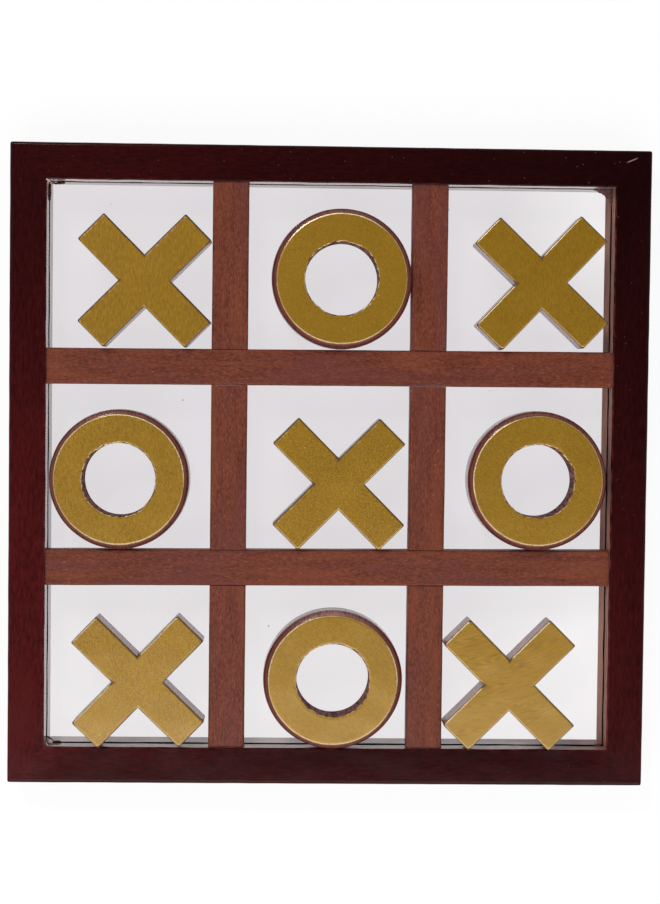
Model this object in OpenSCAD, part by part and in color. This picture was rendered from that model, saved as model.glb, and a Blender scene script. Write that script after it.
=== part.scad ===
// Tabletop noughts-and-crosses board: four mitred rails hold a clear pane in a groove, strips on the
// pane make the grid, and nine loose pieces with gold faces rest in the cells.
// The board lies flat, with the pane facing +Z, its underside on Z = 0 and its centre on the Z axis.
// Rows run from the +Y side, which is the top of the board, and columns from the -X side.

/* [Board] */
// Side of each square cell between the strips and rails
cell_side = 65.6; // [60:0.1:90]
// Depth of the frame from its underside to its face
frame_depth = 20; // [18:0.5:30]

/* [Frame rails] */
// Width of a rail across its face
rail_width = 14.6; // [11:0.1:25]
// Height of the rail's face above the pane
front_lip = 8; // [7.5:0.1:11]
// Radius on the outer corners and outer long edges of the frame
outer_edge_radius = 1.2; // [0.4:0.1:2.5]
// Radius on the inner long edges of the rails
inner_edge_radius = 0.4; // [0.1:0.1:1.5]

/* [Pane] */
// Thickness of the pane
pane_thickness = 3; // [2:0.1:4]
// How far the pane's edge reaches into each rail
pane_engagement = 4.5; // [3:0.1:6]
// Room beyond the pane's edge at the end of the groove
groove_end_clearance = 0.5; // [0.2:0.1:1]
// Room between the pane's upper face and the groove
groove_face_clearance = 0.2; // [0.05:0.05:0.4]

/* [Grid strips] */
// Width of a strip across its face
strip_width = 14.3; // [8:0.1:20]
// Height of a strip above the pane
strip_height = 7; // [4:0.1:7.5]
// Radius on a strip's upper long edges and on its upright corners
strip_edge_radius = 0.7; // [0.2:0.1:1.5]
// Hairline gap at each end of a strip
strip_end_gap = 0.25; // [0.1:0.05:0.6]
// How far the left uprights sit from their even place, towards +X
left_upright_shift = -0.2; // [-1.5:0.1:1.5]
// How far the right uprights sit from their even place, towards +X
right_upright_shift = -0.8; // [-1.5:0.1:1.5]
// How far the upper long strip sits from its even place, towards +Y
upper_strip_shift = -0.4; // [-1.5:0.1:1.5]
// How far the lower long strip sits from its even place, towards +Y
lower_strip_shift = -0.4; // [-1.5:0.1:1.5]
// Turn of the upper long strip out of line with the rails, in degrees
upper_strip_turn = 0.2; // [-0.5:0.05:0.5]
// Turn of the lower long strip out of line with the rails, in degrees
lower_strip_turn = 0.35; // [-0.5:0.05:0.5]

/* [Loose pieces] */
// Thickness of a piece with its gold face
piece_thickness = 12; // [8:0.1:16]
// Thickness of the gold face
face_thickness = 0.3; // [0.2:0.05:1]
// Side play of an X in its cell
x_cell_play = 13; // [8:0.1:24]
// Width of an arm of the X
x_arm_width = 14.5; // [8:0.1:18]
// Side play of an O in its cell
o_cell_play = 10; // [6:0.1:20]
// Width of the ring of the O, from its hole to its outer side
o_ring_width = 13.3; // [8:0.1:18]
// How far the rounded outer edge of the O goes in from its side
o_rim_inset = 1.9; // [0.5:0.1:3]
// How far the rounded outer edge of the O goes down from its wooden top
o_rim_drop = 3; // [1:0.1:6]
// Gap between a piece and the strip or rail that it lies against
rest_gap = 0.15; // [0.1:0.05:1]

/* [Layout] */
// Place of the top row's pieces across their cells, from -1 at the left to 1 at the right
top_row_places = [1, 1, 0.6]; // [-1:0.05:1]
// Place of the middle row's pieces across their cells
middle_row_places = [-0.7, 0.7, 0.65]; // [-1:0.05:1]
// Place of the bottom row's pieces across their cells
bottom_row_places = [0.8, 0.6, -1]; // [-1:0.05:1]
// Turn of the top right X, in degrees
top_right_turn = 1.6; // [-4:0.1:4]
// Turn of the bottom left X, in degrees
bottom_left_turn = 1; // [-4:0.1:4]

/* [Hidden] */
$fn = 96;
frame_colour = [0.18, 0.05, 0.05];
strip_colour = [0.43, 0.23, 0.18];
piece_colour = [0.33, 0.12, 0.10];
gold_colour = [0.60, 0.45, 0.15];
pane_colour = [0.86, 0.88, 0.90, 0.35];

// Extra length on a cutting shape, so that no two faces of a cut coincide
cut_margin = 1;

// Plan of the board
opening_side = 3 * cell_side + 2 * strip_width;
board_side = opening_side + 2 * rail_width;
pane_side = opening_side + 2 * pane_engagement;
strip_pitch = cell_side + strip_width;

// Heights
pane_top = frame_depth - front_lip;
pane_bottom = pane_top - pane_thickness;
core_thickness = piece_thickness - face_thickness;
face_bottom = pane_top + core_thickness;

// Centre lines of the strips
upright_x = [-strip_pitch / 2 + left_upright_shift, strip_pitch / 2 + right_upright_shift];
long_strip_y = [strip_pitch / 2 + upper_strip_shift, -strip_pitch / 2 + lower_strip_shift];
long_strip_turns = [upper_strip_turn, lower_strip_turn];

// Low and high edge of each column, from the left
column_edges = [
    [-opening_side / 2, upright_x[0] - strip_width / 2],
    [upright_x[0] + strip_width / 2, upright_x[1] - strip_width / 2],
    [upright_x[1] + strip_width / 2, opening_side / 2]
];

// Edge of a long strip at a place across the board, on its -Y side, -1, or its +Y side, 1
function long_strip_edge(index, x, side) =
    long_strip_y[index] + x * tan(long_strip_turns[index])
    + side * strip_width / 2 / cos(long_strip_turns[index]);

// Low and high edge of a row, from the top, at a place across the board
function row_edges(row, x) = [
    row == 2 ? -opening_side / 2 : long_strip_edge(row, x, 1),
    row == 0 ? opening_side / 2 : long_strip_edge(row - 1, x, -1)
];

// Sizes of the pieces
x_overall = cell_side - x_cell_play;
x_arm_length = x_overall * sqrt(2) - x_arm_width;
o_radius = (cell_side - o_cell_play) / 2;
o_hole_radius = o_radius - o_ring_width;
o_rim_arc = (pow(o_rim_inset, 2) + pow(o_rim_drop, 2)) / (2 * o_rim_inset);

// Places and turns of the pieces, by row and column
piece_places = [top_row_places, middle_row_places, bottom_row_places];
piece_turns = [[0, 0, top_right_turn], [0, 0, 0], [bottom_left_turn, 0, 0]];

// Half the span of an X across its cell when it is turned
function x_half_span(turn) =
    x_arm_length / 2 * sin(45 + abs(turn)) + x_arm_width / 2 * cos(45 + abs(turn));

// Centre of a piece that lies against the lower edge of its cell
function piece_centre(row, column, half_span) =
    let (edges = column_edges[column])
    let (side_room = (edges[1] - edges[0]) / 2 - half_span - rest_gap)
    let (x = (edges[0] + edges[1]) / 2 + piece_places[row][column] * side_room)
    let (low_edge = max([for (side = [-1, 1]) row_edges(row, x + side * half_span)[0]]))
    [x, low_edge + rest_gap + half_span];

// What a rounding takes off a corner at the origin, with the material towards +X and +Y
module corner_waste(radius) {
    difference() {
        translate([-cut_margin, -cut_margin]) square(radius + cut_margin);
        translate([radius, radius]) circle(radius);
    }
}

// Rectangle from the origin with its four corners rounded, anticlockwise from the origin
module eased_rectangle(width, height, radii) {
    corners = [[0, 0], [width, 0], [width, height], [0, height]];
    difference() {
        square([width, height]);
        for (i = [0:3]) {
            if (radii[i] > 0) translate(corners[i]) rotate(90 * i) corner_waste(radii[i]);
        }
    }
}

// Cross-section of a rail, from its outer side at x = 0 to its inner side, with the pane's groove
module rail_profile() {
    groove_depth = pane_engagement + groove_end_clearance;
    groove_height = pane_thickness + groove_face_clearance;
    difference() {
        eased_rectangle(
            rail_width, frame_depth,
            [outer_edge_radius, inner_edge_radius, inner_edge_radius, outer_edge_radius]
        );
        translate([rail_width - groove_depth, pane_bottom]) square([groove_depth + cut_margin, groove_height]);
    }
}

// The rail on the -Y side, mitred at both ends, then turned to its own side
module rail(turn) {
    half = board_side / 2;
    corner = outer_edge_radius;
    rotate(turn) intersection() {
        translate([-half, -half, 0]) rotate([90, 0, 90]) linear_extrude(board_side) rail_profile();
        linear_extrude(frame_depth) intersection() {
            polygon([[-half, -half], [half, -half], [0, 0]]);
            translate([-half, -half]) eased_rectangle(board_side, board_side, [corner, corner, corner, corner]);
        }
    }
}

// A strip along X, centred on the origin, with its underside on the pane
module strip(length) {
    corner = strip_edge_radius;
    translate([-length / 2, -strip_width / 2, pane_top]) intersection() {
        rotate([90, 0, 90]) linear_extrude(length)
            eased_rectangle(strip_width, strip_height, [0, 0, corner, corner]);
        linear_extrude(strip_height) eased_rectangle(length, strip_width, [corner, corner, corner, corner]);
    }
}

module long_strip(index) {
    translate([0, long_strip_y[index], 0])
        rotate(long_strip_turns[index]) strip(opening_side - 2 * strip_end_gap);
}

module upright(row, side) {
    edges = row_edges(row, upright_x[side]);
    translate([upright_x[side], (edges[0] + edges[1]) / 2, 0])
        rotate(90) strip(edges[1] - edges[0] - 2 * strip_end_gap);
}

// Outline of an X, both arms through its centre
module x_outline() {
    for (turn = [45, 135]) rotate(turn) square([x_arm_length, x_arm_width], center = true);
}

module place_x(row, column, height) {
    turn = piece_turns[row][column];
    centre = piece_centre(row, column, x_half_span(turn));
    translate([centre[0], centre[1], height]) rotate(turn) children();
}

module place_o(row, column, height) {
    centre = piece_centre(row, column, o_radius);
    translate([centre[0], centre[1], height]) children();
}

module x_core(row, column) {
    place_x(row, column, pane_top) linear_extrude(core_thickness) x_outline();
}

module x_face(row, column) {
    place_x(row, column, face_bottom) linear_extrude(face_thickness) x_outline();
}

// Half section of the O's wooden ring: straight below, then an arc in to the gold face
module o_half_section() {
    arc_centre = [o_radius - o_rim_arc, core_thickness - o_rim_drop];
    translate([o_hole_radius, 0]) square([o_ring_width, core_thickness - o_rim_drop]);
    translate([o_hole_radius, 0]) square([arc_centre[0] - o_hole_radius, core_thickness]);
    intersection() {
        translate(arc_centre) circle(o_rim_arc);
        translate(arc_centre) square([o_rim_arc, o_rim_drop]);
    }
}

module o_core(row, column) {
    place_o(row, column, pane_top) rotate_extrude() o_half_section();
}

module o_face(row, column) {
    place_o(row, column, face_bottom) difference() {
        cylinder(h = face_thickness, r = o_radius - o_rim_inset);
        translate([0, 0, -cut_margin]) cylinder(h = face_thickness + 2 * cut_margin, r = o_hole_radius);
    }
}

module frame_rail_bottom() { color(frame_colour) rail(0); }
module frame_rail_right() { color(frame_colour) rail(90); }
module frame_rail_top() { color(frame_colour) rail(180); }
module frame_rail_left() { color(frame_colour) rail(270); }
module glass_pane() {
    color(pane_colour) translate([-pane_side / 2, -pane_side / 2, pane_bottom])
        cube([pane_side, pane_side, pane_thickness]);
}
module long_strip_upper() { color(strip_colour) long_strip(0); }
module long_strip_lower() { color(strip_colour) long_strip(1); }
module upright_top_left() { color(strip_colour) upright(0, 0); }
module upright_top_right() { color(strip_colour) upright(0, 1); }
module upright_middle_left() { color(strip_colour) upright(1, 0); }
module upright_middle_right() { color(strip_colour) upright(1, 1); }
module upright_bottom_left() { color(strip_colour) upright(2, 0); }
module upright_bottom_right() { color(strip_colour) upright(2, 1); }
module x_core_top_left() { color(piece_colour) x_core(0, 0); }
module x_face_top_left() { color(gold_colour) x_face(0, 0); }
module o_core_top_middle() { color(piece_colour) o_core(0, 1); }
module o_face_top_middle() { color(gold_colour) o_face(0, 1); }
module x_core_top_right() { color(piece_colour) x_core(0, 2); }
module x_face_top_right() { color(gold_colour) x_face(0, 2); }
module o_core_middle_left() { color(piece_colour) o_core(1, 0); }
module o_face_middle_left() { color(gold_colour) o_face(1, 0); }
module x_core_centre() { color(piece_colour) x_core(1, 1); }
module x_face_centre() { color(gold_colour) x_face(1, 1); }
module o_core_middle_right() { color(piece_colour) o_core(1, 2); }
module o_face_middle_right() { color(gold_colour) o_face(1, 2); }
module x_core_bottom_left() { color(piece_colour) x_core(2, 0); }
module x_face_bottom_left() { color(gold_colour) x_face(2, 0); }
module o_core_bottom_middle() { color(piece_colour) o_core(2, 1); }
module o_face_bottom_middle() { color(gold_colour) o_face(2, 1); }
module x_core_bottom_right() { color(piece_colour) x_core(2, 2); }
module x_face_bottom_right() { color(gold_colour) x_face(2, 2); }

frame_rail_bottom();
frame_rail_right();
frame_rail_top();
frame_rail_left();
glass_pane();
long_strip_upper();
long_strip_lower();
upright_top_left();
upright_top_right();
upright_middle_left();
upright_middle_right();
upright_bottom_left();
upright_bottom_right();
x_core_top_left();
x_face_top_left();
o_core_top_middle();
o_face_top_middle();
x_core_top_right();
x_face_top_right();
o_core_middle_left();
o_face_middle_left();
x_core_centre();
x_face_centre();
o_core_middle_right();
o_face_middle_right();
x_core_bottom_left();
x_face_bottom_left();
o_core_bottom_middle();
o_face_bottom_middle();
x_core_bottom_right();
x_face_bottom_right();
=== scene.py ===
"""Dresses a tabletop noughts-and-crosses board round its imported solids.

Lacquered rails hold a clear pane, wooden strips make the grid, and nine loose pieces carry gold faces.
"""

import math

import bmesh
import bpy
from bpy.props import FloatProperty, FloatVectorProperty, PointerProperty
from mathutils import Euler, Matrix, Vector, noise


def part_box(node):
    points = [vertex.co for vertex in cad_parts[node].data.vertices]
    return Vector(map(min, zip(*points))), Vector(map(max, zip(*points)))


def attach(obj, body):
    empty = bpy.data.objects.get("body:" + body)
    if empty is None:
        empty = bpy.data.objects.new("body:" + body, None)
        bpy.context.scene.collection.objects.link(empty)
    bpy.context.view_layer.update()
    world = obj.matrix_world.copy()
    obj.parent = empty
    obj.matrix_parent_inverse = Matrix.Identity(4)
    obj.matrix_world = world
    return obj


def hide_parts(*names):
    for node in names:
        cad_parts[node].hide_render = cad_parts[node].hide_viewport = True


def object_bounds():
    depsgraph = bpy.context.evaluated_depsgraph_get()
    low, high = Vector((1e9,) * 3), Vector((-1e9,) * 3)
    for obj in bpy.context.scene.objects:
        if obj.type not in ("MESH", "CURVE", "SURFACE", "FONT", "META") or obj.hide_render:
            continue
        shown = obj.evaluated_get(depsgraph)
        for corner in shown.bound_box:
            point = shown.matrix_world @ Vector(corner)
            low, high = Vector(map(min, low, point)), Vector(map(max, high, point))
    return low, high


bl_info = {
    "name": "Noughts and crosses board",
    "version": (1, 0, 0),
    "blender": (4, 5, 0),
    "location": "View3D > Sidebar > Board",
    "description": "Builds the finished look of a wooden noughts-and-crosses board round its packed solids",
    "category": "Object",
}

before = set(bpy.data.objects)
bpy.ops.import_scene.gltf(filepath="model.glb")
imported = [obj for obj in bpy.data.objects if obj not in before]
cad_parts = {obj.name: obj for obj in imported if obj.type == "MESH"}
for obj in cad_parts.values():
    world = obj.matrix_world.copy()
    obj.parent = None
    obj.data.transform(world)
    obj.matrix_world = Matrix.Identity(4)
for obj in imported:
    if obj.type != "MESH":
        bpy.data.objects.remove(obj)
CAD_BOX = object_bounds()

MM = 0.001
RAIL_TURNS = {"frame_rail_bottom": 0, "frame_rail_right": 90, "frame_rail_top": 180, "frame_rail_left": 270}
LONG_STRIPS = ("long_strip_upper", "long_strip_lower")
UPRIGHTS = (
    "upright_top_left", "upright_top_right", "upright_middle_left",
    "upright_middle_right", "upright_bottom_left", "upright_bottom_right",
)
CROSS_PLACES = ("top_left", "top_right", "centre", "bottom_left", "bottom_right")
NOUGHT_PLACES = ("top_middle", "middle_left", "middle_right", "bottom_middle")
PANE_LOW, PANE_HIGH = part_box("glass_pane")
RAIL_LOW, RAIL_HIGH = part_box("frame_rail_bottom")
BOARD_HALF = CAD_BOX[1].x
RAIL_WIDTH = RAIL_HIGH.y - RAIL_LOW.y
FRAME_DEPTH = RAIL_HIGH.z
OPENING_HALF = BOARD_HALF - RAIL_WIDTH

# Smooth shading breaks where two faces meet at more than this angle
SHARP_ANGLE = math.radians(38)
# Points this near a rounding keep the flat beside it flat in the shading
EDGE_SUPPORT = 0.3 * MM
# Steps round a quarter turn of a rounded edge
ROUNDING_STEPS = 5
# Seating of wood on the glass, so that no two faces lie in one plane
SEAT_GAP = 0.03 * MM
# Two lengths that differ by less count as the same
HAIR = 0.01 * MM
# The outer cells of an X's top are wider than its rim's inset by this much
RIM_ROOM = 0.2 * MM
# Reach of the unevenness that hand sanding leaves
SANDING_REACH = 9 * MM
# Size of the flecks in which gold rubs off an edge
FLECK_SIZE = 1.1 * MM
# Shift of the grain from one piece to the next, so that no two pieces look alike
GRAIN_SHIFT = Vector((0.37, 0.23, 0.11))
# Seed of the vector noise, which otherwise follows the clock and differs from run to run
NOISE_SEED = 5
# First number of the grain of each kind of piece, counted on from piece to piece
FIRST_GRAIN = {"strips": 5, "crosses": 20, "noughts": 40, "glue": 60, "smear": 70}
# Materials made so far, by the name of their finish
MATERIALS = {}


def length(name, description, millimetres):
    """A size that the user can change, shown in the scene's own unit."""
    return FloatProperty(
        name=name, description=description, default=millimetres * MM, min=0, precision=5, unit="LENGTH"
    )


def colour(name, description, default):
    """A colour that the user can change, in linear light."""
    return FloatVectorProperty(
        name=name, description=description, default=default, size=3, min=0, max=1, subtype="COLOR"
    )


class BoardSizes(bpy.types.PropertyGroup):
    """Small sizes of edges and fits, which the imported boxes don't give, in mm."""

    outer_edge_radius: length("Outer edge radius", "Rounding of the frame's outer edges and corners", 1.2)
    inner_edge_radius: length("Inner edge radius", "Rounding of the rails' inner edges", 0.45)
    groove_depth: length("Groove depth", "Depth of the pane's groove in each rail", 5)
    # Painted shade: height of the near-black band on the lip above the groove
    groove_shade_height: length("Groove stain", "Height of the dark stain above the groove", 0.8)
    groove_room: length("Groove room", "Room above the pane in its groove", 0.45)
    strip_edge_radius: length("Strip edge radius", "Rounding of a strip's upper edges", 0.7)
    strip_end_easing: length("Strip end easing", "Rounding of the edges at a strip's ends", 0.12)
    strip_reach: length("Strip reach", "How far a strip's ends close the fitting gap of the solids", 0.19)
    strip_far_corner: length("Strip far corner", "Rounding in plan of the right ends of the long strips", 0.9)
    piece_corner: length("Piece corner", "Rounding of the upright corners of an X", 0.55)
    gold_corner: length("Gold corner", "Rounding of the gold's corners on an X", 1.25)
    gold_wear: length("Gold wear", "How far the gold has worn back from a dark edge", 0.20)
    piece_easing: length("Piece easing", "Easing of a piece's lower edges", 0.3)
    gold_inset: length("Gold inset", "How far the gold stops short of the edge of an X", 0.16)
    hole_inset: length("Hole inset", "How far the gold stops short of the hole of an O", 0.20)
    gold_edge: length("Gold edge", "Height of the gold's rounded edge", 0.28)
    cross_bead: length("X bead", "Width of the gold's rounded edge on an X", 0.55)
    nought_bead: length("O bead", "Width of the gold's rounded edge on an O", 0.75)
    hole_bead: length("Hole bead", "Width of the gold's rounded edge at the hole of an O", 0.28)
    rim_drop: length("Rim drop", "Height of the rounded outer edge of an O", 3)
    wood_wobble: length("Wood wobble", "How far hand sanding leaves the wood uneven", 0.07)
    lip_wobble: length("Lip wobble", "How far the rails' inner edges wander", 0.17)
    gold_wobble: length("Gold wobble", "How ragged the gold is at the hole of an O", 0.52)


class BoardColours(bpy.types.PropertyGroup):
    """Colours of the finishes, in linear light."""

    lacquer_dark: colour("Lacquer, dark", "Darkest colour of the frame", (0.0045, 0.0013, 0.0016))
    lacquer_red: colour("Lacquer, red", "Reddest colour of the frame", (0.066, 0.0065, 0.0068))
    wall_dark: colour("Inner wall, dark", "Darker lacquer on the inner walls", (0.110, 0.050, 0.046))
    wall_light: colour("Inner wall, light", "Lighter lacquer on the inner walls", (0.420, 0.290, 0.270))
    bare_wood: colour("Bare wood", "Wood of the frame where the lacquer is thin", (0.44, 0.225, 0.155))
    edge_red: colour("Inner edge", "Thin lacquer along the rails' inner edges", (0.15, 0.030, 0.026))
    strip_dark: colour("Strip, dark", "Darker grain of the strips", (0.060, 0.009, 0.004))
    strip_light: colour("Strip, light", "Lighter grain of the strips", (0.190, 0.044, 0.021))
    cross_dark: colour("X wood, dark", "Darker grain of the X pieces", (0.11, 0.035, 0.028))
    cross_light: colour("X wood, light", "Lighter grain of the X pieces", (0.38, 0.18, 0.15))
    nought_dark: colour("O wood, dark", "Darker grain of the O pieces", (0.060, 0.012, 0.008))
    nought_light: colour("O wood, light", "Lighter grain of the O pieces", (0.150, 0.032, 0.022))
    gold_deep: colour("Gold, deep", "Deeper colour of the gold", (0.225, 0.110, 0.001))
    gold_bright: colour("Gold, bright", "Brighter colour of the gold", (0.385, 0.212, 0.006))
    # Painted highlight: cream colour of the gold's rubbed edges and glints
    gold_highlight: colour("Gold, rim", "Rubbed edge of the gold", (0.93, 0.77, 0.46))
    glass: colour("Glass", "Colour of the pane", (1.0, 0.975, 0.99))
    glue: colour("Glue", "Colour of the dried glue in the corners", (0.16, 0.065, 0.045))
    pale_glue: colour("Pale glue", "Colour of the thin clear glue", (0.78, 0.68, 0.67))
    floor: colour("Floor", "Colour of the floor", (0.95, 0.94, 0.95))
    # Painted shadow of the board on the floor, seen through the pane
    pane_shadow: colour("Under the pane", "Colour of the floor through the pane", (0.838, 0.830, 0.842))


class StudioLight(bpy.types.PropertyGroup):
    """Strength of each lamp and of the room."""

    low_softbox: FloatProperty(
        name="Low softbox", description="Power of the wide lamp beyond the lower rail",
        default=12, min=0, unit="POWER",
    )
    key_softbox: FloatProperty(
        name="Key softbox", description="Power of the lamp at the upper left", default=6, min=0, unit="POWER"
    )
    room: FloatProperty(name="Room", description="Strength of the light from the room", default=0.78, min=0)
    floor_glow: FloatProperty(
        name="Floor glow", description="Share of the floor that shows its plain colour whatever the light",
        default=0.90, min=0, max=1, subtype="FACTOR",
    )


# Mesh building


def finish_mesh(name, mesh):
    """Turns a bmesh into an object with outward faces, smooth where it is round and crisp at its edges."""
    bmesh.ops.recalc_face_normals(mesh, faces=mesh.faces)
    data = bpy.data.meshes.new(name)
    mesh.to_mesh(data)
    mesh.free()
    data.shade_smooth()
    data.set_sharp_from_angle(angle=SHARP_ANGLE)
    piece = bpy.data.objects.new(name, data)
    bpy.context.scene.collection.objects.link(piece)
    shading = piece.modifiers.new("even_shading", "WEIGHTED_NORMAL")
    shading.keep_sharp = True
    return piece


def join_rows(mesh, first, second, parts=()):
    """Quads between two closed rows of vertices; parts gives each quad the number of its finish."""
    for i in range(len(first)):
        j = (i + 1) % len(first)
        face = mesh.faces.new((first[i], first[j], second[j], second[i]))
        if parts:
            face.material_index = parts[i]


def skin_rings(name, rings, loop=False, worn=(), parts=()):
    """Object whose skin joins closed rings of points in order, with flat ends or joined into a loop.

    worn gives each point of a ring its share of bare or rubbed surface, and parts the number of the
    finish between each point and the next.
    """
    mesh = bmesh.new()
    share = mesh.verts.layers.float.new("worn")
    rows = [[mesh.verts.new(point) for point in ring] for ring in rings]
    for row in rows:
        for vertex, value in zip(row, worn):
            vertex[share] = value
    pairs = list(zip(rows, rows[1:]))
    if loop:
        pairs.append((rows[-1], rows[0]))
    for first, second in pairs:
        join_rows(mesh, first, second, parts)
    if not loop:
        mesh.faces.new(rows[0])
        mesh.faces.new(rows[-1])
    return finish_mesh(name, mesh)


def even_stops(low, high, step):
    """Evenly spaced numbers from low to high, both included, about step apart."""
    count = max(1, round((high - low) / step))
    return [low + (high - low) * i / count for i in range(count + 1)]


def round_pairs(points):
    """Each point of a closed loop with the one after it."""
    return list(zip(points, points[1:] + points[:1]))


def quarter_turn(steps):
    """Sine and cosine of evenly spaced angles from 0 to 90 degrees, both included."""
    angles = [math.pi / 2 * step / steps for step in range(steps + 1)]
    return [(math.sin(angle), math.cos(angle)) for angle in angles]


def about_z(degrees):
    """Turn about the upright axis."""
    return Matrix.Rotation(math.radians(degrees), 3, "Z")


def plan_centre(low, high, z=0):
    """Middle of a box in plan, at a height."""
    return Vector(((low.x + high.x) / 2, (low.y + high.y) / 2, z))


def node_points(name, origin):
    """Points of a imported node, measured from an origin."""
    return [vertex.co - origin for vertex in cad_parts[name].data.vertices]


def eased_outline(corners, radii, steps, longest):
    """Closed outline with right-angled corners rounded, and points no further apart than longest."""
    points = []
    for i, corner in enumerate(corners):
        corner = Vector(corner)
        before = (Vector(corners[i - 1]) - corner).normalized()
        after = (Vector(corners[(i + 1) % len(corners)]) - corner).normalized()
        radius = radii[i]
        if radius == 0:
            points.append(corner)
            continue
        centre = corner + (before + after) * radius
        for sine, cosine in quarter_turn(steps):
            points.append(centre - after * radius * cosine - before * radius * sine)
    outline = []
    for point, following in round_pairs(points):
        run = (following - point).length
        shares = even_stops(0, 1, longest / run)[:-1]
        if run > 8 * EDGE_SUPPORT:
            shares += [EDGE_SUPPORT / run, 1 - EDGE_SUPPORT / run]
        outline += [point.lerp(following, share) for share in sorted(shares)]
    return outline


def sanded(point, amount, reach=SANDING_REACH):
    """The point moved a little, as hand sanding leaves it; one place always moves the same way."""
    return point + noise.noise_vector(point / reach) * amount


def corner_pull(distance, radius):
    """How far a rounding of that radius draws a face in, at a distance from the end."""
    if distance >= radius:
        return 0
    return radius - math.sqrt(radius ** 2 - (radius - distance) ** 2)


def store_grain(piece, along, origin, seed, bow=0):
    """Keeps each point's place along, across and through the wood, for the finishes to read."""
    turn = about_z(-along)
    shift = GRAIN_SHIFT * seed
    values = piece.data.attributes.new("grain", "FLOAT_VECTOR", "POINT").data
    for vertex, value in zip(piece.data.vertices, values):
        place = turn @ (vertex.co - origin)
        place.y -= bow * place.x ** 2
        value.vector = place + shift


def store_share(piece, name, rule):
    """Keeps a number from 0 to 1 at each point, found from its place, for a finish to read."""
    values = piece.data.attributes.new(name, "FLOAT", "POINT").data
    for vertex, value in zip(piece.data.vertices, values):
        value.value = rule(vertex.co)


def store_brush(piece, brush, origin, seed):
    """Keeps the brush's direction and bow as the grain, and how combed and how coarse its lines are."""
    turn, combed, bow, coarse = brush
    store_grain(piece, turn, origin, seed, bow)
    store_share(piece, "combed", lambda point: combed)
    store_share(piece, "coarse", lambda point: coarse)


def scale_worn(piece, rule):
    """Scales the worn share at each point by a number found from its place."""
    for vertex, value in zip(piece.data.vertices, piece.data.attributes["worn"].data):
        value.value *= rule(vertex.co)


def dress(piece, material, body, slot, *nodes):
    """Gives a piece its finish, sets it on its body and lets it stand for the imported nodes."""
    piece.data.materials.append(material)
    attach(piece, body)
    if nodes:
        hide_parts(*nodes)


# Finishes


class Nodes:
    """Short calls for building a tree of shader nodes."""

    def __init__(self, tree):
        self.tree = tree

    def node(self, kind, values=None, **settings):
        """A new node with its settings, and its inputs set to plain values or linked to sockets."""
        made = self.tree.nodes.new(kind)
        for key, value in settings.items():
            setattr(made, key, value)
        for key, value in (values or {}).items():
            self.feed(made.inputs[key], value)
        return made

    def feed(self, socket, value):
        """Links an input to a socket, or sets it to a plain value."""
        if isinstance(value, bpy.types.NodeSocket):
            self.tree.links.new(value, socket)
        else:
            socket.default_value = value

    def vector(self, operation, first, second):
        """Works out two vectors: a number for a product or a distance, and a vector otherwise."""
        made = self.node("ShaderNodeVectorMath", {0: first, 1: second}, operation=operation)
        return made.outputs["Value" if operation in ("DOT_PRODUCT", "DISTANCE") else "Vector"]

    def show(self, output, share, first, second):
        """Sends a mix of two shaders to the tree's output."""
        mixed = self.node("ShaderNodeMixShader", {0: share, 1: first.outputs[0], 2: second.outputs[0]})
        self.feed(self.tree.nodes[output].inputs["Surface"], mixed.outputs[0])


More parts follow.
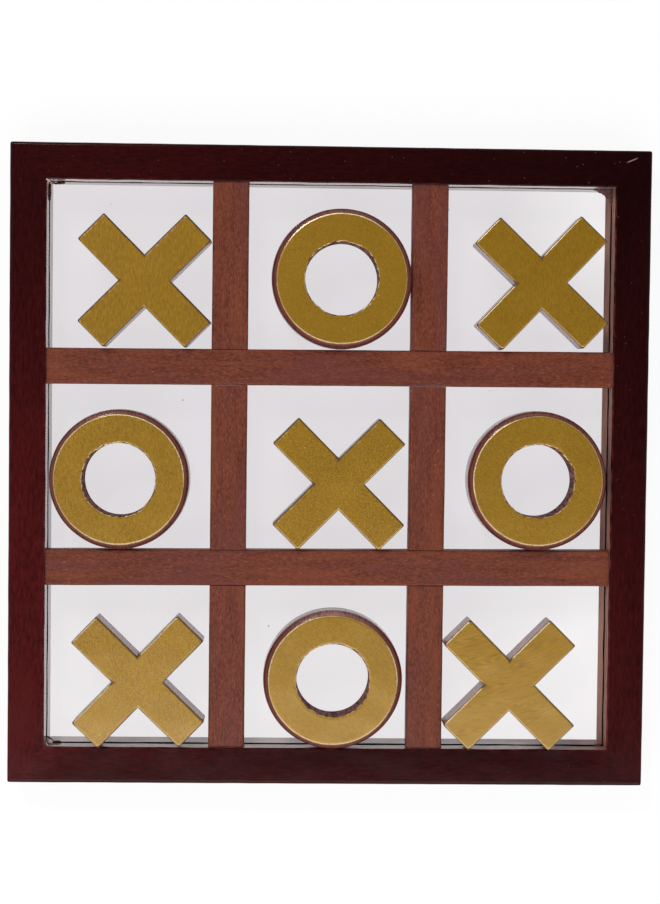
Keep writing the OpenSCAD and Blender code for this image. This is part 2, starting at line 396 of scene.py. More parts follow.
class Finish(Nodes):
    """Short calls for building one procedural material."""

    def __init__(self, name):
        self.material = bpy.data.materials.new(name)
        self.material.use_nodes = True
        super().__init__(self.material.node_tree)
        self.shader = self.tree.nodes["Principled BSDF"]

    def shade(self, **values):
        """Sets or links inputs of the shader, named with underscores for spaces."""
        for key, value in values.items():
            self.feed(self.shader.inputs[key.replace("_", " ")], value)

    def grain(self, *scale):
        """Place in the wood, in units that the three scales give for each metre."""
        place = self.node("ShaderNodeAttribute", attribute_name="grain").outputs["Vector"]
        return self.vector("MULTIPLY", place, scale)

    def place(self, *scale):
        """Place on the object, in units that the three scales give for each metre."""
        return self.vector("MULTIPLY", self.node("ShaderNodeTexCoord").outputs["Object"], scale)

    def share(self, name):
        """A number that store_share or a mesh builder kept at each point."""
        return self.node("ShaderNodeAttribute", attribute_name=name).outputs["Fac"]

    def cloud(self, vector, detail=2.0, roughness=0.5, distortion=0.0):
        """Soft noise from 0 to 1."""
        values = {"Vector": vector, "Scale": 1.0, "Detail": detail}
        values.update({"Roughness": roughness, "Distortion": distortion})
        return self.node("ShaderNodeTexNoise", values).outputs[0]

    def figure(self, scale, *settings):
        """Soft noise that lies along the wood."""
        return self.cloud(self.grain(*scale), *settings)

    def spread(self, value, low, high, to_low=0.0, to_high=1.0):
        """Stretches a value from one range to another, held at both ends."""
        values = {0: value, 1: low, 2: high, 3: to_low, 4: to_high}
        return self.node("ShaderNodeMapRange", values, clamp=True).outputs[0]

    def calc(self, operation, first, second):
        """Works out two numbers."""
        return self.node("ShaderNodeMath", {0: first, 1: second}, operation=operation).outputs[0]

    def times(self, first, second):
        """Product of two numbers."""
        return self.calc("MULTIPLY", first, second)

    def shift(self, factor, first, second):
        """Mixes two numbers."""
        return self.node("ShaderNodeMix", {0: factor, 2: first, 3: second}).outputs[0]

    def blend(self, factor, first, second):
        """Mixes two colours, given as sockets or as three numbers."""
        made = self.node("ShaderNodeMix", {0: factor}, data_type="RGBA")
        for socket, value in ((made.inputs[6], first), (made.inputs[7], second)):
            self.feed(socket, value if isinstance(value, bpy.types.NodeSocket) else (*value, 1.0))
        return made.outputs[2]

    def bump(self, height, strength, distance, **normal):
        """Normal bent by a height, and before that by another normal where one is given."""
        values = {"Height": height, "Strength": strength, "Distance": distance, **normal}
        return self.node("ShaderNodeBump", values).outputs[0]

    def specks(self, vector, share, outer, inner):
        """Scattered round specks, 1 within the inner radius and 0 outside the outer one."""
        cells = self.node("ShaderNodeTexVoronoi", {"Vector": vector, "Scale": 1.0, "Randomness": 1.0}).outputs
        tint = self.node("ShaderNodeSeparateColor", {0: cells["Color"]}).outputs[0]
        chosen = self.calc("GREATER_THAN", tint, 1 - share)
        return self.times(chosen, self.spread(cells["Distance"], outer, inner))

    def stroke(self, centre, turn, reach, width, depth):
        """A short straight mark on an upper face: 1 on it and 0 beside it."""
        place = self.node("ShaderNodeTexCoord").outputs["Object"]
        place = self.vector("SUBTRACT", place, centre)
        mark = 1.0
        for direction, limit in zip(about_z(turn).col, (reach, width, depth)):
            along = self.calc("ABSOLUTE", self.vector("DOT_PRODUCT", place, direction), 0.0)
            mark = self.times(mark, self.spread(along, limit, limit * 0.5))
        return mark


def shared(finish, colours):
    """The material of a finish, made once and used by every piece that has it."""
    if finish.__name__ not in MATERIALS:
        MATERIALS[finish.__name__] = finish(colours)
    return MATERIALS[finish.__name__]


def red_lacquer(colours):
    """Dark red lacquer over fine-grained wood, with painted light and shade across the frame, dust specks,
    one scratch and thin inner edges.
    """
    make = Finish("red_lacquer")
    broad = make.figure((14, 75, 75), 3.0, 0.55, 0.4)
    hairs = make.figure((230, 900, 900), 3.0, 0.65)
    depth = make.spread(hairs, 0.3, 0.7, -0.30, 0.66)
    depth = make.calc("ADD", make.spread(broad, 0.3, 0.7, 0.56, 1.00), depth)
    # The tone share is painted light and shade: the red is lighter at the lower left of the frame and darker
    # at the upper right
    depth = make.times(make.share("tone"), depth)
    wood = make.blend(depth, colours.lacquer_dark, colours.lacquer_red)
    specks = make.specks(make.grain(420, 420, 420), 0.3, 0.12, 0.06)
    dust = make.times(specks, make.spread(make.share("tone"), 0.45, 0.15, 0.05, 0.4))
    wood = make.blend(dust, wood, (0.20, 0.15, 0.15))
    edge = make.times(make.share("worn"), make.spread(hairs, 0.4, 0.65, 0.0, 0.8))
    wood = make.blend(edge, wood, colours.edge_red)
    scratch = make.stroke((119.2 * MM, 123.4 * MM, FRAME_DEPTH), 23, 2.6 * MM, 0.3 * MM, 0.5 * MM)
    make.shade(Base_Color=make.blend(make.times(scratch, 0.6), wood, (0.42, 0.22, 0.20)))
    make.shade(Roughness=make.spread(make.figure((60, 260, 260), 3.0), 0.3, 0.7, 0.14, 0.20))
    make.shade(Specular_IOR_Level=0.078)
    swell = make.bump(make.figure((90, 220, 220), 2.0), 0.10, 0.3 * MM)
    make.shade(Normal=make.bump(hairs, 0.10, 0.05 * MM, Normal=swell))
    return make.material


def inner_wall(name, dark, light, bare, gloss, dullest):
    """Finish of the rails' inner walls, streaked along the grain, with bare wood behind the pane, and a
    painted reflection behind the pane on the bottom rail.
    """
    make = Finish(name)
    hairs = make.figure((110, 1300, 1300), 3.0, 0.6)
    stains = make.figure((220, 480, 480), 3.0, 0.65, 0.5)
    tone = make.shift(0.5, hairs, stains)
    wood = make.blend(make.spread(tone, 0.36, 0.62), dark, light)
    thin = make.times(make.share("worn"), make.spread(tone, 0.34, 0.6, 0.35, 1.0))
    wood = make.blend(thin, wood, bare)
    # Painted reflection: pale pinkish grey on the bottom rail's wall behind the pane, where the pale floor
    # would be mirrored
    wood = make.blend(make.share("pale"), wood, (0.72, 0.64, 0.64))
    dull = make.share("dull")
    make.shade(Base_Color=make.blend(dull, wood, (0.20, 0.105, 0.09)))
    smooth = make.spread(tone, 0.3, 0.7, dullest * 0.4, dullest)
    make.shade(Roughness=make.shift(dull, smooth, 0.6), Specular_IOR_Level=gloss)
    make.shade(Normal=make.bump(hairs, 0.3, 0.08 * MM))
    return make.material


def thin_lacquer(colours):
    """Thin glossy lacquer on the inner walls of three rails."""
    return inner_wall("thin_lacquer", colours.wall_dark, colours.wall_light, colours.bare_wood, 0.55, 0.15)


def dull_stain(colours):
    """Dull stain on the inner walls of the right rail, which the lacquer didn't reach."""
    return inner_wall("dull_stain", colours.edge_red, colours.bare_wood, colours.bare_wood, 0.04, 0.7)


def groove_shade(colours):
    """Painted shade: near-black colour in the pane's groove and on the lip just above it, where the groove's
    shadow falls.
    """
    make = Finish("groove_shade")
    tone = make.figure((200, 900, 900), 2.0)
    stain = make.blend(make.spread(tone, 0.3, 0.7), (0.002, 0.001, 0.001), (0.012, 0.006, 0.005))
    make.shade(Base_Color=stain, Roughness=0.8, Specular_IOR_Level=0.02)
    return make.material


def stained_wood(colours):
    """Stained red-brown wood with a soft grain, warmer and cooler patches and a few pale flecks."""
    make = Finish("stained_wood")
    drift = make.figure((16, 120, 120), 2.0)
    bands = make.figure((55, 420, 420), 2.0, 0.55, 0.15)
    pores = make.figure((1000, 2300, 2300), 3.0, 0.7)
    fibres = make.figure((520, 1400, 1400), 3.0, 0.75)
    tone = make.spread(make.shift(0.78, bands, fibres), 0.34, 0.66)
    wood = make.blend(tone, colours.strip_dark, colours.strip_light)
    wood = make.blend(make.spread(drift, 0.5, 0.35, 0.0, 0.4), wood, (0.185, 0.044, 0.014))
    wood = make.blend(make.spread(drift, 0.5, 0.65, 0.0, 0.4), wood, (0.110, 0.030, 0.026))
    dark_pores = make.spread(pores, 0.42, 0.28, 0.0, 0.35)
    wood = make.blend(dark_pores, wood, (0.040, 0.008, 0.005))
    flecks = make.spread(make.figure((500, 1700, 1700), 2.0, 0.6), 0.66, 0.74, 0.0, 0.5)
    make.shade(Base_Color=make.blend(flecks, wood, (0.36, 0.16, 0.12)))
    make.shade(Roughness=make.spread(bands, 0.3, 0.7, 0.42, 0.56), Specular_IOR_Level=0.22)
    make.shade(Normal=make.bump(tone, 0.2, 0.04 * MM))
    return make.material


def varnished_wood(name, dark, light, contrast, gloss, sheen):
    """Red-brown wood of a loose piece under a thin varnish, rough and dull where the varnish is missing, with
    a painted highlight on the rims of the O pieces.
    """
    make = Finish(name)
    bands = make.figure((40, 900, 300), 3.0, 0.65, 0.2)
    pores = make.figure((90, 1800, 600), 3.0, 0.65)
    tone = make.shift(0.65, bands, pores)
    wood = make.blend(make.spread(tone, 0.5 - contrast, 0.5 + contrast), dark, light)
    # Painted highlight: pale pink on the upper arc of an O's rim, where a lamp would shine
    scuffed = make.times(make.share("scuffed"), make.spread(pores, 0.35, 0.6, 0.15, 0.9))
    wood = make.blend(scuffed, wood, (0.40, 0.22, 0.19))
    # The stained share is painted shade in the upper and left inner corners of an X
    wood = make.blend(make.share("stained"), wood, (0.040, 0.014, 0.011))
    worn = make.share("worn")
    make.shade(Base_Color=make.blend(worn, wood, (0.055, 0.022, 0.015)))
    smooth = make.spread(pores, 0.35, 0.65, sheen, sheen + 0.16)
    make.shade(Roughness=make.shift(worn, smooth, 0.65), Specular_IOR_Level=gloss)
    make.shade(Normal=make.bump(tone, 0.25, 0.08 * MM))
    return make.material


def cross_wood(colours):
    """Glossy varnished wood of the X pieces, dark along its edges."""
    return varnished_wood("cross_wood", colours.cross_dark, colours.cross_light, 0.12, 0.42, 0.16)


def nought_wood(colours):
    """Darker varnished wood of the O pieces."""
    return varnished_wood("nought_wood", colours.nought_dark, colours.nought_light, 0.13, 0.36, 0.08)


def sawn_wood(colours):
    """Rough dark wood in the hole of an O, as the saw left it."""
    make = Finish("sawn_wood")
    tone = make.figure((700, 700, 120), 3.0, 0.6)
    wood = make.blend(make.spread(tone, 0.38, 0.62), (0.052, 0.022, 0.019), (0.30, 0.135, 0.120))
    make.shade(Base_Color=wood, Roughness=0.8, Specular_IOR_Level=0.12)
    return make.material


def gold_paint(colours):
    """Gold paint with a clear sheen, combed or gritty, with painted highlights on rubbed edges and in glints,
    and edges worn off to dark wood, partly painted shade.
    """
    make = Finish("gold_paint")
    combed = make.share("combed")
    drift = make.figure((45, 80, 80), 2.0)
    streaks = make.figure((420, 1500, 1500), 2.0, 0.6, 0.3)
    grit = make.figure((1700, 1700, 1700), 2.0, 0.6)
    strokes = make.calc("PINGPONG", make.figure((30, 480, 480), 0.0), 0.045)
    strokes = make.shift(0.58, make.spread(strokes, 0.0, 0.045), grit)
    streaks = make.shift(make.spread(combed, 0.8, 1.0), streaks, strokes)
    tone = make.shift(combed, grit, streaks)
    tone = make.calc("ADD", make.times(tone, 0.88), make.times(drift, 0.12))
    reach = make.spread(make.share("coarse"), 0.0, 1.0, 0.34, 0.105)
    tone = make.spread(tone, make.calc("SUBTRACT", 0.5, reach), make.calc("ADD", 0.5, reach))
    gold = make.blend(tone, colours.gold_deep, colours.gold_bright)
    pits = make.times(make.specks(make.grain(520, 520, 520), 0.08, 0.15, 0.075), 0.35)
    gold = make.blend(pits, gold, (0.10, 0.045, 0.006))
    # Painted glints: cream specks standing in for sparkles of light on the gold
    painted_glints = make.specks(make.grain(460, 460, 460), 0.04, 0.16, 0.08)
    painted_glints = make.times(painted_glints, make.spread(combed, 0.38, 0.3, 0.0, 0.3))
    gold = make.blend(painted_glints, gold, colours.gold_highlight)
    # Above 0 the worn share paints the highlight colour on rubbed edges; below 0 the gold is worn to dark
    # wood, partly painted shade
    worn = make.share("worn")
    rub_and_highlight = make.times(make.spread(worn, 0.0, 1.0), make.spread(grit, 0.38, 0.55, 0.45, 1.0))
    gold = make.blend(rub_and_highlight, gold, colours.gold_highlight)
    bare = make.times(make.spread(worn, 0.0, -1.0), make.spread(grit, 0.38, 0.55, 0.55, 1.0))
    make.shade(Base_Color=make.blend(bare, gold, (0.055, 0.023, 0.014)))
    make.shade(Metallic=make.shift(bare, 0.5, 0.0), Roughness=make.spread(grit, 0.3, 0.7, 0.36, 0.48))
    make.shade(Coat_Weight=make.shift(bare, 0.74, 0.0), Coat_Roughness=0.25, Coat_IOR=1.8)
    make.shade(Specular_IOR_Level=0.2)
    height = make.times(tone, make.spread(combed, 0.8, 1.0, 1.0, 2.0))
    make.shade(Normal=make.bump(height, 0.25, 0.06 * MM))
    return make.material


def clear_glass(colours):
    """Clear float glass with a breath of dust."""
    make = Finish("clear_glass")
    make.shade(Transmission_Weight=1.0, IOR=1.5)
    motes = make.times(make.specks(make.place(170, 170, 0), 0.03, 0.075, 0.040), 0.7)
    make.shade(Base_Color=make.blend(motes, colours.glass, (0.30, 0.27, 0.27)))
    film = make.cloud(make.place(30, 30, 30), 3.0)
    make.shade(Roughness=make.spread(film, 0.45, 0.8, 0.0, 0.02))
    return make.material


def dried_glue(colours):
    """Glue that has dried in lumps, brown with sawdust or pale and clear."""
    make = Finish("dried_glue")
    tone = make.figure((900, 900, 900), 3.0)
    brown = make.blend(make.spread(tone, 0.35, 0.65), (0.028, 0.010, 0.006), colours.glue)
    make.shade(Base_Color=make.blend(make.share("worn"), brown, colours.pale_glue))
    make.shade(Roughness=make.spread(tone, 0.3, 0.7, 0.45, 0.65), Specular_IOR_Level=0.12)
    make.shade(Normal=make.bump(tone, 0.4, 0.2 * MM))
    return make.material


# Pieces


class BOARD_OT_frame_rails(bpy.types.Operator):
    """Builds the four mitred rails with rounded edges and the groove for the pane"""

    bl_idname = "board.frame_rails"
    bl_label = "Frame rails"

    # Painted light and shade across the frame: depth of the red at the middle of each rail, and how it
    # changes towards the right or upper end, lighter at the lower left and darker at the upper right
    PAINTED_RAIL_SHADING = {
        "frame_rail_bottom": (0.375, -0.09), "frame_rail_right": (0.32, -0.26),
        "frame_rail_top": (0.25, -0.16), "frame_rail_left": (0.665, -0.44),
    }
    # Share of bare wood on each rail's inner walls
    THIN = {
        "frame_rail_bottom": 0.35, "frame_rail_right": 1.0,
        "frame_rail_top": 0.3, "frame_rail_left": 0.35,
    }
    # How far the foot of a rail's inner wall leans into the opening, in mm
    LEAN = {"frame_rail_bottom": 0.4, "frame_rail_right": 0.6, "frame_rail_top": 0, "frame_rail_left": 0}
    # Points this near an inner wall lean with it
    LEAN_DEPTH = 1 * MM
    # Distance from a mitre within which the red of two rails runs together
    MITRE_BLEND = 22 * MM
    # Shares of the outer rounding at which sections stand, and the step between the others
    CORNER_SHARES = (0, 0.2, 0.4, 0.7, 1)
    RUN_STEP = 0.02
    # Spacing of the points round a section
    SECTION_STEP = 2.6 * MM
    # Height above the flat underside, and depth of the inner lip, over which the unevenness grows
    FLAT_FOOT = 2 * MM
    LIP_DEPTH = 2 * MM
    # Height at which the bare wood starts, and room for the rounding of a wall's edges
    BARE_FOOT = 0.3 * MM
    EDGE_ROOM = 0.05 * MM
    # Share of painted reflection, a pale pinkish grey, behind the pane, and of duller darker brown above it,
    # on the bottom rail's inner wall
    PAINTED_REFLECTION_BEHIND = 0.6
    DULL_ABOVE = 0.25
    # Most of the duller, darker brown at the bottom rail's right end, the run over which it grows, and its
    # start, in runs
    DULL_MOST = 0.85
    DULL_RUN = 50 * MM
    DULL_START = 1.2

    def execute(self, context):
        sizes = context.scene.board_sizes
        colours = context.scene.board_colours
        section = self.section(sizes)
        parts = [self.finish_at(start, end, sizes) for start, end in round_pairs(section)]
        corner = sizes.outer_edge_radius / BOARD_HALF
        ends = [1 - corner * share for share in self.CORNER_SHARES]
        between = even_stops(-1 + corner, 1 - corner, self.RUN_STEP)[1:-1]
        stops = [-end for end in ends] + between + ends[::-1]
        for seed, (name, turn) in enumerate(RAIL_TURNS.items()):
            leaning = [self.lean(point, self.LEAN[name] * MM) for point in section]
            rings = [[self.place(stop, point, about_z(turn), sizes) for point in leaning] for stop in stops]
            worn = [self.thin(point, sizes) * self.THIN[name] for point in section]
            rail = skin_rings(name.replace("frame_rail", "rail"), rings, worn=worn, parts=parts)
            store_grain(rail, turn, Vector(), seed)
            # Painted light and shade across the frame, kept as the tone share
            store_share(rail, "tone", lambda point: self.tone(point, name))
            if name == "frame_rail_bottom":
                store_share(rail, "dull", self.dull)
                # Painted reflection on the bottom rail's wall behind the pane
                store_share(rail, "pale", lambda point: self.PAINTED_REFLECTION_BEHIND if point.z < PANE_LOW.z else 0)
            dress(rail, shared(red_lacquer, colours), "board", "frame_lacquer", name)
            wall = dull_stain if name == "frame_rail_right" else thin_lacquer
            for finish in (wall, groove_shade):
                rail.data.materials.append(shared(finish, colours))
        return {"FINISHED"}

    def section(self, sizes):
        """Cross-section of a rail: distance from its outer side, and height."""
        groove = RAIL_WIDTH - sizes.groove_depth
        roof = PANE_HIGH.z + sizes.groove_room
        corners = [
            (0, 0), (RAIL_WIDTH, 0), (RAIL_WIDTH, PANE_LOW.z), (groove, PANE_LOW.z),
            (groove, roof), (RAIL_WIDTH, roof), (RAIL_WIDTH, roof + sizes.groove_shade_height),
            (RAIL_WIDTH, FRAME_DEPTH), (0, FRAME_DEPTH),
        ]
        outer, inner = sizes.outer_edge_radius, sizes.inner_edge_radius
        radii = (outer, inner, 0, 0, 0, 0, 0, inner, outer)
        return eased_outline(corners, radii, ROUNDING_STEPS, self.SECTION_STEP)

    def finish_at(self, start, end, sizes):
        """Finish of a stretch of the section: 0 for the lacquer, 1 on the inner walls and 2, a painted shade,
        in the groove and on the lip just above it.
        """
        inset, height = (start + end) / 2
        if inset < RAIL_WIDTH - sizes.groove_depth - HAIR:
            return 0
        # Painted shade in the groove and on the lip just above it
        if PANE_LOW.z - HAIR < height < PANE_HIGH.z + sizes.groove_room + sizes.groove_shade_height:
            return 2
        return 1 if RAIL_WIDTH - inset < HAIR else 0

    def lean(self, point, most):
        """A point of the section, moved inwards towards the foot of the wall behind the pane."""
        inset, height = point
        at_wall = inset > RAIL_WIDTH - self.LEAN_DEPTH
        share = max(0, 1 - height / PANE_LOW.z) if at_wall else 0
        return Vector((inset + most * share, height))

    def thin(self, point, sizes):
        """Share of bare wood in the section: on the wall behind the pane and along the upper edge."""
        inset, height = point
        at_wall = inset > RAIL_WIDTH - sizes.inner_edge_radius - self.EDGE_ROOM
        behind_pane = self.BARE_FOOT < height < PANE_HIGH.z + 2 * sizes.groove_room
        at_edge = height > FRAME_DEPTH - sizes.inner_edge_radius - self.EDGE_ROOM
        return 1 if at_wall and (behind_pane or at_edge) else 0

    def dull(self, point):
        """Share of duller, darker brown on the bottom rail's inner wall, more above the pane and towards the
        right end.
        """
        above = self.DULL_ABOVE if point.z > PANE_HIGH.z else 0
        return max(above, min(self.DULL_MOST, point.x / self.DULL_RUN - self.DULL_START))

    def tone(self, point, name):
        """Depth of the red at a place on a rail, painted light and shade which runs into its neighbour's at
        the mitre.
        """
        level = name in ("frame_rail_bottom", "frame_rail_top")
        if level:
            neighbour = "frame_rail_left" if point.x < 0 else "frame_rail_right"
        else:
            neighbour = "frame_rail_bottom" if point.y < 0 else "frame_rail_top"
        along, across = (point.x, point.y) if level else (point.y, point.x)
        middle, slope = self.PAINTED_RAIL_SHADING[name]
        own = middle + slope * along / BOARD_HALF
        middle, slope = self.PAINTED_RAIL_SHADING[neighbour]
        other = middle + slope * across / BOARD_HALF
        from_mitre = abs(abs(along) - abs(across)) / self.MITRE_BLEND
        return own + (other - own) * max(0, 0.5 - 0.5 * from_mitre)

    def place(self, stop, point, spin, sizes):
        """Point of the section at a stop from one mitre, -1, to the other, 1."""
        inset, height = point
        radius = sizes.outer_edge_radius
        x = stop * (BOARD_HALF - inset)
        y = inset - BOARD_HALF
        inner = BOARD_HALF - radius
        over = Vector((abs(x) - inner, abs(y) - inner))
        if min(over) > 0 and over.length > radius:
            over *= radius / over.length
            x = math.copysign(inner + over.x, x)
            y = math.copysign(inner + over.y, y)
        placed = spin @ Vector((x, y, height))
        free = min(1, height / self.FLAT_FOOT)
        at_lip = max(0, 1 - (RAIL_WIDTH - inset) / self.LIP_DEPTH)
        amount = sizes.wood_wobble + (sizes.lip_wobble - sizes.wood_wobble) * at_lip
        return sanded(placed, amount * free)


class BOARD_OT_glass_pane(bpy.types.Operator):
    """Finishes the pane in clear glass"""

    bl_idname = "board.glass_pane"
    bl_label = "Glass pane"

    def execute(self, context):
        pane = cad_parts["glass_pane"]
        pane.data.materials.clear()
        pane.data.materials.append(shared(clear_glass, context.scene.board_colours))
        pane.visible_shadow = False
        pane.visible_diffuse = False
        return {"FINISHED"}


class BOARD_OT_grid_strips(bpy.types.Operator):
    """Builds the two long strips and the six short uprights between them"""

    bl_idname = "board.grid_strips"
    bl_label = "Grid strips"

    # Points this near the end of a packed strip give its direction
    END_ZONE = 3 * MM
    # Spacing of the points round a section, and of the sections along a strip
    SECTION_STEP = 2.4 * MM
    RUN_STEP = 3 * MM
    # Shares of an end's rounding at which sections stand
    END_SHARES = (0, 0.3, 1)
    FAR_SHARES = (0.3, 0.5, 0.75, 1)

    def execute(self, context):
        sizes = context.scene.board_sizes
        wood = shared(stained_wood, context.scene.board_colours)
        for seed, name in enumerate(LONG_STRIPS + UPRIGHTS, FIRST_GRAIN["strips"]):
            upright = name in UPRIGHTS
            middle, turn, span = self.plan(name, upright)
            span.x += 2 * sizes.strip_reach
            spin = Matrix.Rotation(turn, 3, "Z")
            rings = [
                [sanded(middle + spin @ point, sizes.wood_wobble) for point in ring]
                for ring in self.rings(*span, upright, sizes)
            ]
            strip = skin_rings(name.replace("upright", "short_strip").replace("long", "grid"), rings)
            store_grain(strip, math.degrees(turn), middle, seed)
            dress(strip, wood, "board", "strip_wood", name)
        return {"FINISHED"}

    def plan(self, name, upright):
        """Foot of a strip's middle, its turn, and its length, width and height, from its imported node."""
        low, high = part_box(name)
        middle = plan_centre(low, high, low.z)
        points = node_points(name, middle)
        ahead = Vector((0, 1, 0)) if upright else Vector((1, 0, 0))
        reach = max(point.dot(ahead) for point in points)
        ends = [point for point in points if point.dot(ahead) > reach - self.END_ZONE]
        along, across = (min(p[axis] for p in ends) + max(p[axis] for p in ends) for axis in (0, 1))
        turn = math.atan2(across, along)
        level = [Matrix.Rotation(-turn, 3, "Z") @ point for point in points]
        spans = [max(p[axis] for p in level) - min(p[axis] for p in level) for axis in range(3)]
        return middle, turn, Vector(spans)

    def rings(self, run, width, height, upright, sizes):
        """Cross-sections along a strip, drawn in at its eased ends; a long strip's right end is rounder."""
        radius = sizes.strip_edge_radius
        half = width / 2
        corners = [(-half, SEAT_GAP), (half, SEAT_GAP), (half, height), (-half, height)]
        section = eased_outline(corners, (0, 0, radius, radius), ROUNDING_STEPS - 1, self.SECTION_STEP)
        easing = sizes.strip_end_easing
        far = easing if upright else sizes.strip_far_corner
        ends = [easing * share for share in self.END_SHARES]
        near_stops = ends + [easing + EDGE_SUPPORT]
        far_stops = sorted({*ends, *(far * share for share in self.FAR_SHARES), far + EDGE_SUPPORT})
        stops = near_stops + even_stops(near_stops[-1], run - far_stops[-1], self.RUN_STEP)[1:-1]
        stops += [run - stop for stop in reversed(far_stops)]
        made = []
        for stop in stops:
            pull = corner_pull(min(stop, run - stop), easing)
            side = 1 - max(pull, corner_pull(run - stop, far)) / half
            top = 1 - pull / height
            made.append([Vector((stop - run / 2, point[0] * side, point[1] * top)) for point in section])
        return made


class CrossPlan:
    """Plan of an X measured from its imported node: centre, turn, and half the length and width of an arm."""

    # Reach of the painted shade round the upper and left inner corners
    NOTCH_SHADE_REACH = 1.1 * MM
    # Gold within this distance of a dark edge is drawn back, and fully so once it is the fade nearer
    WORN_REACH = 1.2 * MM
    WORN_FADE = 0.45 * MM
    # Size of the waves in which the gold is drawn back, and their mean and swing
    WAVE_SIZE = 1.7 * MM
    WAVE_MEAN = 0.55
    WAVE_SWING = 0.7
    # Width of a worn edge, and reach of the broken painted highlight line inside a dark one
    EDGE_WIDTH = 0.62 * MM
    LINE_REACH = 0.8 * MM
    # Painted shade in an inner corner, where the gold turns to dark wood, and strength and limit of the
    # flecks of the painted highlight line
    NOTCH_SHADE = -0.9
    FLECK_GAIN = 1.6
    FLECK_MOST = 0.5

    def __init__(self, node):
        low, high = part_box(node)
        self.centre = plan_centre(low, high)
        reach = node_points(node, self.centre)
        tips = {(round(p.x, 6), round(p.y, 6)) for p in reach if p.x > 0 and p.y > 0}
        first, second = sorted(tips, key=lambda p: math.hypot(*p))[-2:]
        middle = (Vector(first) + Vector(second)) / 2
        self.half_width = (Vector(first) - Vector(second)).length / 2
        self.half_length = middle.length
        self.turn = math.degrees(math.atan2(middle.y, middle.x))

    def stops(self, corner, step):
        """Grid lines across the plan, closer together at the corners."""
        across = even_stops(-self.half_width + corner, self.half_width - corner, step)
        along = even_stops(self.half_width, self.half_length - corner, step)[1:]
        outer = along + [self.half_length]
        return [-x for x in reversed(outer)] + [-self.half_width] + across + [self.half_width] + outer

    def level(self, point):
        """A place in the directions of the X's own arms."""
        return about_z(-self.turn) @ (point - self.centre)

    def in_shaded_notch(self, point):
        """Whether a place is close to the upper or the left inner corner, where the saw cuts met; these
        corners carry painted shade.
        """
        place = self.level(point)
        away = Vector((abs(place.x) - self.half_width, abs(place.y) - self.half_width))
        return place.y > 0 and away.length < self.NOTCH_SHADE_REACH

    def gaps(self, point):
        """Distances to the sides that face upper right, upper left, lower left and lower right."""
        place = self.level(point)
        x_limit = self.half_length if abs(place.y) <= self.half_width else self.half_width
        y_limit = self.half_length if abs(place.x) <= self.half_width else self.half_width
        return [x_limit - place.x, y_limit - place.y, x_limit + place.x, y_limit + place.y]

    def drawn_back(self, point, wear, most):
        """A point of the gold, moved where the gold has worn back from a dark edge."""
        unevenness = self.WAVE_MEAN + self.WAVE_SWING * noise.noise(point / self.WAVE_SIZE)
        moved = point.copy()
        for quarter, (gap, worn) in enumerate(zip(self.gaps(point), wear)):
            share = max(0, min(1, (self.WORN_REACH - gap) / self.WORN_FADE)) * max(0, -worn)
            inwards = about_z(self.turn + 90 * quarter) @ Vector((-1, 0, 0))
            moved += inwards * share * most * unevenness
        return moved

    def edge_wear(self, point, wear):
        """Wear and painted light of the gold at a place: its edge, painted bright or dark by the way it
        faces, the painted shade in the notches and a broken painted highlight line inside a dark edge.
        """
        if self.in_shaded_notch(point):
            return self.NOTCH_SHADE
        gaps = self.gaps(point)
        worn = wear[gaps.index(min(gaps))]
        if min(gaps) < self.EDGE_WIDTH:
            return worn
        if gaps[1] >= self.LINE_REACH or worn >= 0:
            return 0
        return max(0, min(self.FLECK_MOST, noise.noise(point / FLECK_SIZE) * self.FLECK_GAIN))


def rim_loop(mesh):
    """Vertices round the open edge of a sheet, in order."""
    edge = next(e for e in mesh.edges if e.is_boundary)
    loop = [edge.verts[0]]
    vertex = edge.verts[1]
    while vertex is not loop[0]:
        loop.append(vertex)
        edge = next(e for e in vertex.link_edges if e.is_boundary and e is not edge)
        vertex = edge.other_vert(vertex)
    return loop


def loop_normals(points):
    """Outward direction at each point of a closed loop, long enough to keep offsets even at corners."""
    side = math.copysign(1, sum(a.x * b.y - b.x * a.y for a, b in round_pairs(points)))
    runs = [(after - before).normalized() for before, after in round_pairs(points)]
    outward = [Vector((run.y, -run.x)) * side for run in runs]
    return [(a + b) / (1 + a.dot(b)) for a, b in zip(outward[-1:] + outward, outward)]


